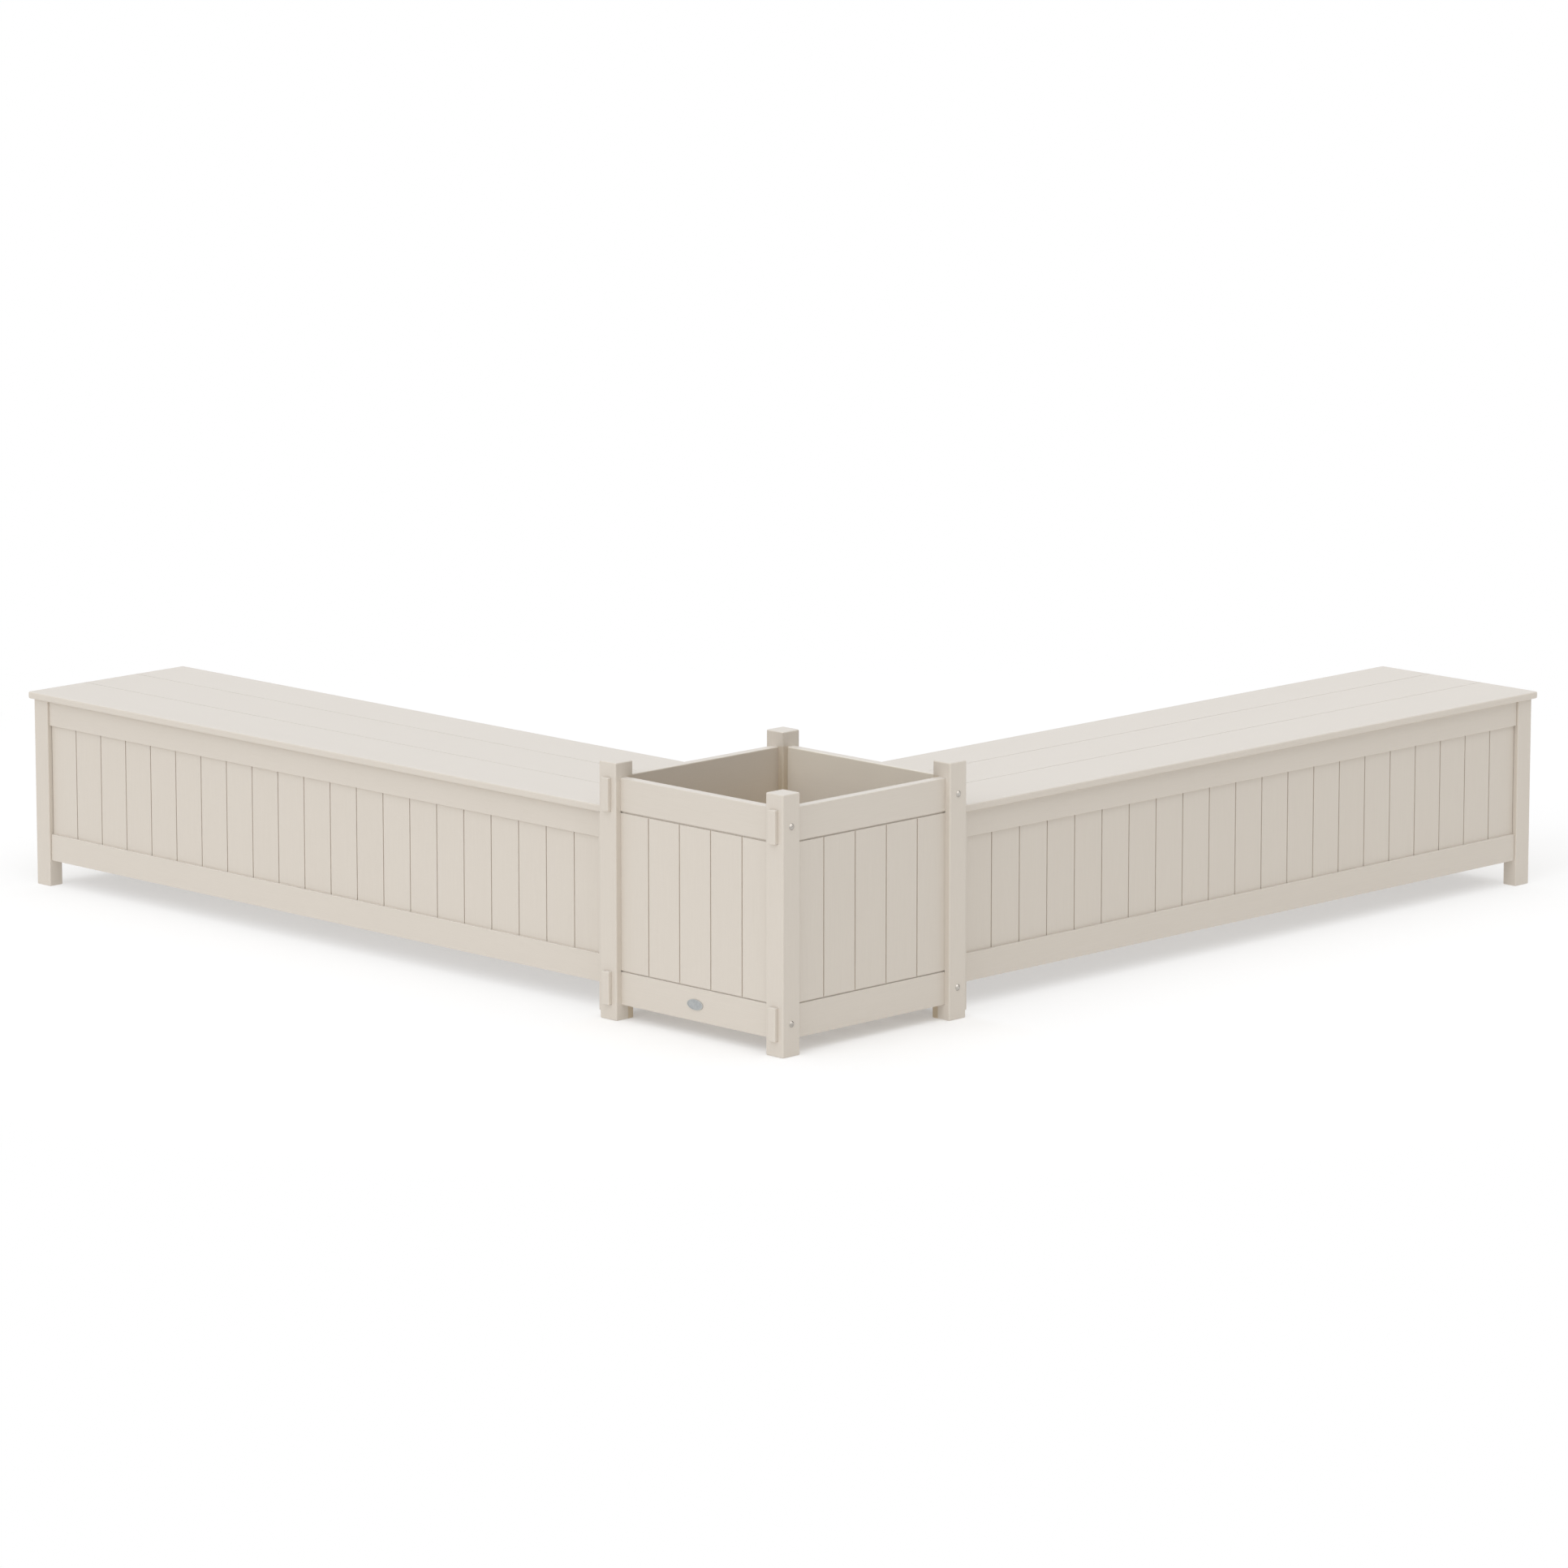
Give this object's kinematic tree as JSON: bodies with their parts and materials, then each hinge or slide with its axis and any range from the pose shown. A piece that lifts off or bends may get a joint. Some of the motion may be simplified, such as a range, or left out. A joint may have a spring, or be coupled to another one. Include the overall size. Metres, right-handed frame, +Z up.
{
  "type": "corner bench with planter",
  "caption": "L-shaped pair of slatted plastic-lumber benches that meet at a square corner planter.",
  "frame": {"origin": "centre of the foot of the planter's outer corner post, on the ground", "axes": "+Z up, one bench runs from the planter along +X and the other along +Y"},
  "size_m": [2.5385, 2.5332, 0.567],
  "materials": {
    "lumber": "matt, fine brushed grain",
    "seat_lumber": "matt, fine brushed grain",
    "stainless": "satin",
    "zinc_steel": "dull zinc plate",
    "badge": "satin grey"
  },
  "bodies": {
    "root": {"badge_plate": "badge", "bench_tie_studs": "zinc_steel", "left_bench_back_bottom_rail": "lumber", "left_bench_back_slats": "lumber", "left_bench_back_top_rail": "lumber", "left_bench_front_bottom_rail": "lumber", "left_bench_front_slats": "lumber", "left_bench_front_top_rail": "lumber", "left_bench_inner_back_leg": "lumber", "left_bench_inner_bottom_rail": "lumber", "left_bench_inner_front_leg": "lumber", "left_bench_inner_top_rail": "lumber", "left_bench_outer_back_leg": "lumber", "left_bench_outer_bottom_rail": "lumber", "left_bench_outer_front_leg": "lumber", "left_bench_outer_slats": "lumber", "left_bench_outer_top_rail": "lumber", "left_bench_seat_back_board": "seat_lumber", "left_bench_seat_battens": "seat_lumber", "left_bench_seat_front_board": "seat_lumber", "left_bench_seat_middle_board": "seat_lumber", "planter_back_bottom_rail": "lumber", "planter_back_post": "lumber", "planter_back_slats": "lumber", "planter_back_top_rail": "lumber", "planter_corner_post": "lumber", "planter_floor_bearers": "lumber", "planter_floor_boards": "lumber", "planter_front_bottom_rail": "lumber", "planter_front_slats": "lumber", "planter_front_top_rail": "lumber", "planter_left_bottom_rail": "lumber", "planter_left_post": "lumber", "planter_left_slats": "lumber", "planter_left_top_rail": "lumber", "planter_rail_bolts": "stainless", "planter_right_bottom_rail": "lumber", "planter_right_post": "lumber", "planter_right_slats": "lumber", "planter_right_top_rail": "lumber", "right_bench_back_bottom_rail": "lumber", "right_bench_back_slats": "lumber", "right_bench_back_top_rail": "lumber", "right_bench_front_bottom_rail": "lumber", "right_bench_front_slats": "lumber", "right_bench_front_top_rail": "lumber", "right_bench_inner_back_leg": "lumber", "right_bench_inner_bottom_rail": "lumber", "right_bench_inner_front_leg": "lumber", "right_bench_inner_top_rail": "lumber", "right_bench_outer_back_leg": "lumber", "right_bench_outer_bottom_rail": "lumber", "right_bench_outer_front_leg": "lumber", "right_bench_outer_slats": "lumber", "right_bench_outer_top_rail": "lumber", "right_bench_seat_back_board": "seat_lumber", "right_bench_seat_battens": "seat_lumber", "right_bench_seat_front_board": "seat_lumber", "right_bench_seat_middle_board": "seat_lumber", "seat_screws": "zinc_steel"}
  },
  "joints": []
}
